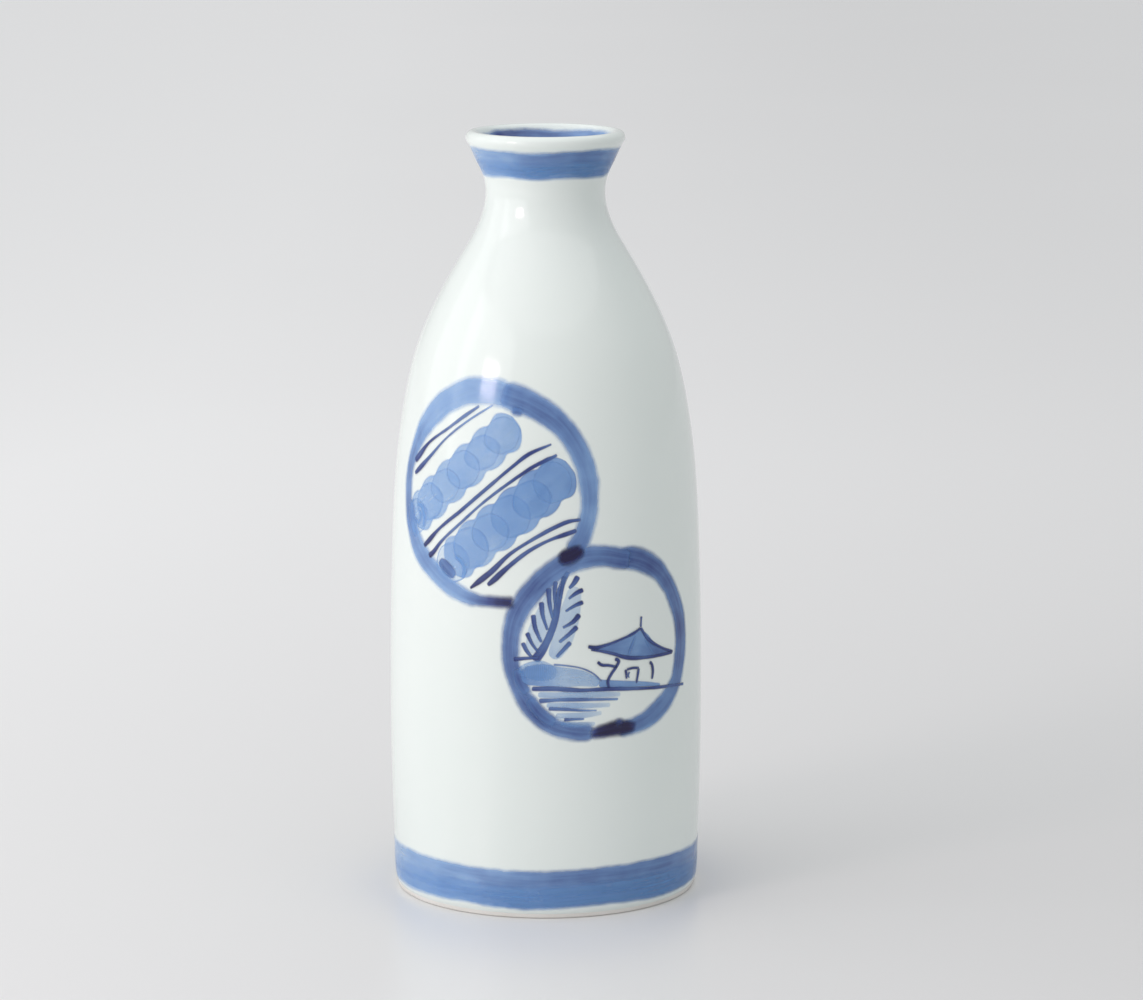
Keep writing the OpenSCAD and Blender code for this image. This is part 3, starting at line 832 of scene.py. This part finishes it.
def lower_roundel(broad, fine):
    place = place_of("lower_ring", LOWER_RING_LEFT + LOWER_RING_RIGHT)
    ring = Painting("lower_ring", BROAD_FEATHER, place)
    for strokes in (LOWER_RING_RIGHT, LOWER_RING_LEFT, LOWER_ACCENTS):
        ring.layer(strokes, rim=-0.2)
    ring.done(broad, "cobalt_stroke")
    lift = ring.lift
    for node, wash, lines in (
        ("tree", TREE_WASH, TREE),
        ("shore", SHORE_WASH, SHORE),
        ("pavilion", PAVILION_ROOF, PAVILION),
    ):
        picture = Painting(node, FINE_FEATHER, place, lift=lift)
        picture.layer(wash)
        picture.layer(lines, wobble=0.2)
        picture.done(fine, "cobalt_line")
        lift = picture.lift


# ---- The bottle, layer by layer ----

clay = turned("fired_clay", clay_outline, CLAY_STEPS)
set_in_place(clay, bare_clay(), "porcelain", "porcelain_body")
glaze = porcelain_glaze()
coat = turned("glaze_coat", glaze_outline, COAT_STEPS)
set_in_place(coat, glaze, "outer_glaze", "outer_glaze", "inner_glaze")
under = turned("foot_recess_glaze", base_outline, CLAY_STEPS)
set_in_place(under, glaze, "base_glaze", "base_glaze")
bands()
broad = cobalt("broad cobalt stroke", BROAD_FEATHER, 0.2, 1.2)
pale = cobalt("pale cobalt wash", WASH_FEATHER, 0.16, 0.45)
fine = cobalt("fine cobalt line", FINE_FEATHER, 0.12, 0.2)
upper_roundel(broad, pale, fine)
lower_roundel(broad, fine)


# ---- Table and light ----

TABLE_REACH = 12    # metres from the bottle to the table's edge


def table():
    """A pale table, with painted shade: a little darker near the camera and towards the right."""
    shape = bmesh.new()
    bmesh.ops.create_grid(shape, x_segments=1, y_segments=1, size=TABLE_REACH)
    floor = finished("table", shape)
    recipe = Recipe("pale glossy table")
    across, away = recipe.add("SeparateXYZ", {"Vector": recipe.place()}).outputs[:2]
    # Painted shade: the table's colour falls off towards the camera and the right, as the light does
    painted_light_falloff = recipe.product(
        recipe.span(away, -0.12, 0.65, 0.77, 0.96, smooth=True),
        recipe.span(across, -0.3, 0.3, 1.08, 0.88, smooth=True),
        recipe.span(recipe.noise(recipe.place(), 3, 2), 0.3, 0.7, 0.99, 1.0),
    )
    floor.data.materials.append(recipe.surface({
        "Base Color": recipe.ramp(painted_light_falloff, [(0, (0, 0, 0)), (1, (0.99, 0.995, 1))]),
        "Roughness": 0.3,
    }))


def aim(lamp, azimuth, elevation, away):
    """Stands a lamp round the bottle, facing its middle. Azimuth 0 is at the camera."""
    a, e = math.radians(azimuth), math.radians(elevation)
    back = Vector((math.sin(a) * math.cos(e), -math.cos(a) * math.cos(e), math.sin(e)))
    lamp.location = Vector((0, 0, bottle_height * 0.55)) + back * away
    lamp.rotation_mode = "QUATERNION"
    lamp.rotation_quaternion = back.to_track_quat("Z", "Y")
    bpy.context.scene.collection.objects.link(lamp)


def soft_box(name, azimuth, elevation, away, width, tall, power, colour=(1, 1, 1)):
    """An oblong lamp: angles in degrees, lengths in metres and power in watts."""
    light = bpy.data.lights.new(name, "AREA")
    light.shape = "RECTANGLE"
    light.size = width
    light.size_y = tall
    light.energy = power
    light.color = colour
    aim(bpy.data.objects.new(name, light), azimuth, elevation, away)


def studio():
    """A window's light from the left and a soft, even light from above."""
    world = bpy.data.worlds.new("studio")
    bpy.context.scene.world = world
    world.use_nodes = True
    sky = world.node_tree.nodes["Background"]
    sky.inputs["Color"].default_value = (0.985, 0.99, 1, 1)
    sky.inputs["Strength"].default_value = 0.5
    soft_box(
        "window", azimuth=-49, elevation=20, away=0.9, width=0.2, tall=0.18, power=1.2,
        colour=(1, 0.83, 0.82),
    )
    soft_box("white wall", azimuth=-58, elevation=20, away=1.1, width=1.0, tall=0.8, power=2.8)
    soft_box("left panel", azimuth=-95, elevation=20, away=0.75, width=0.55, tall=0.5, power=0.6)
    overhead = bpy.data.lights.new("overhead daylight", "SUN")
    overhead.energy = 1.1
    overhead.angle = math.radians(100)
    aim(bpy.data.objects.new("overhead daylight", overhead), azimuth=0, elevation=89, away=2)
    bpy.context.scene.view_settings.view_transform = "Standard"


table()
studio()
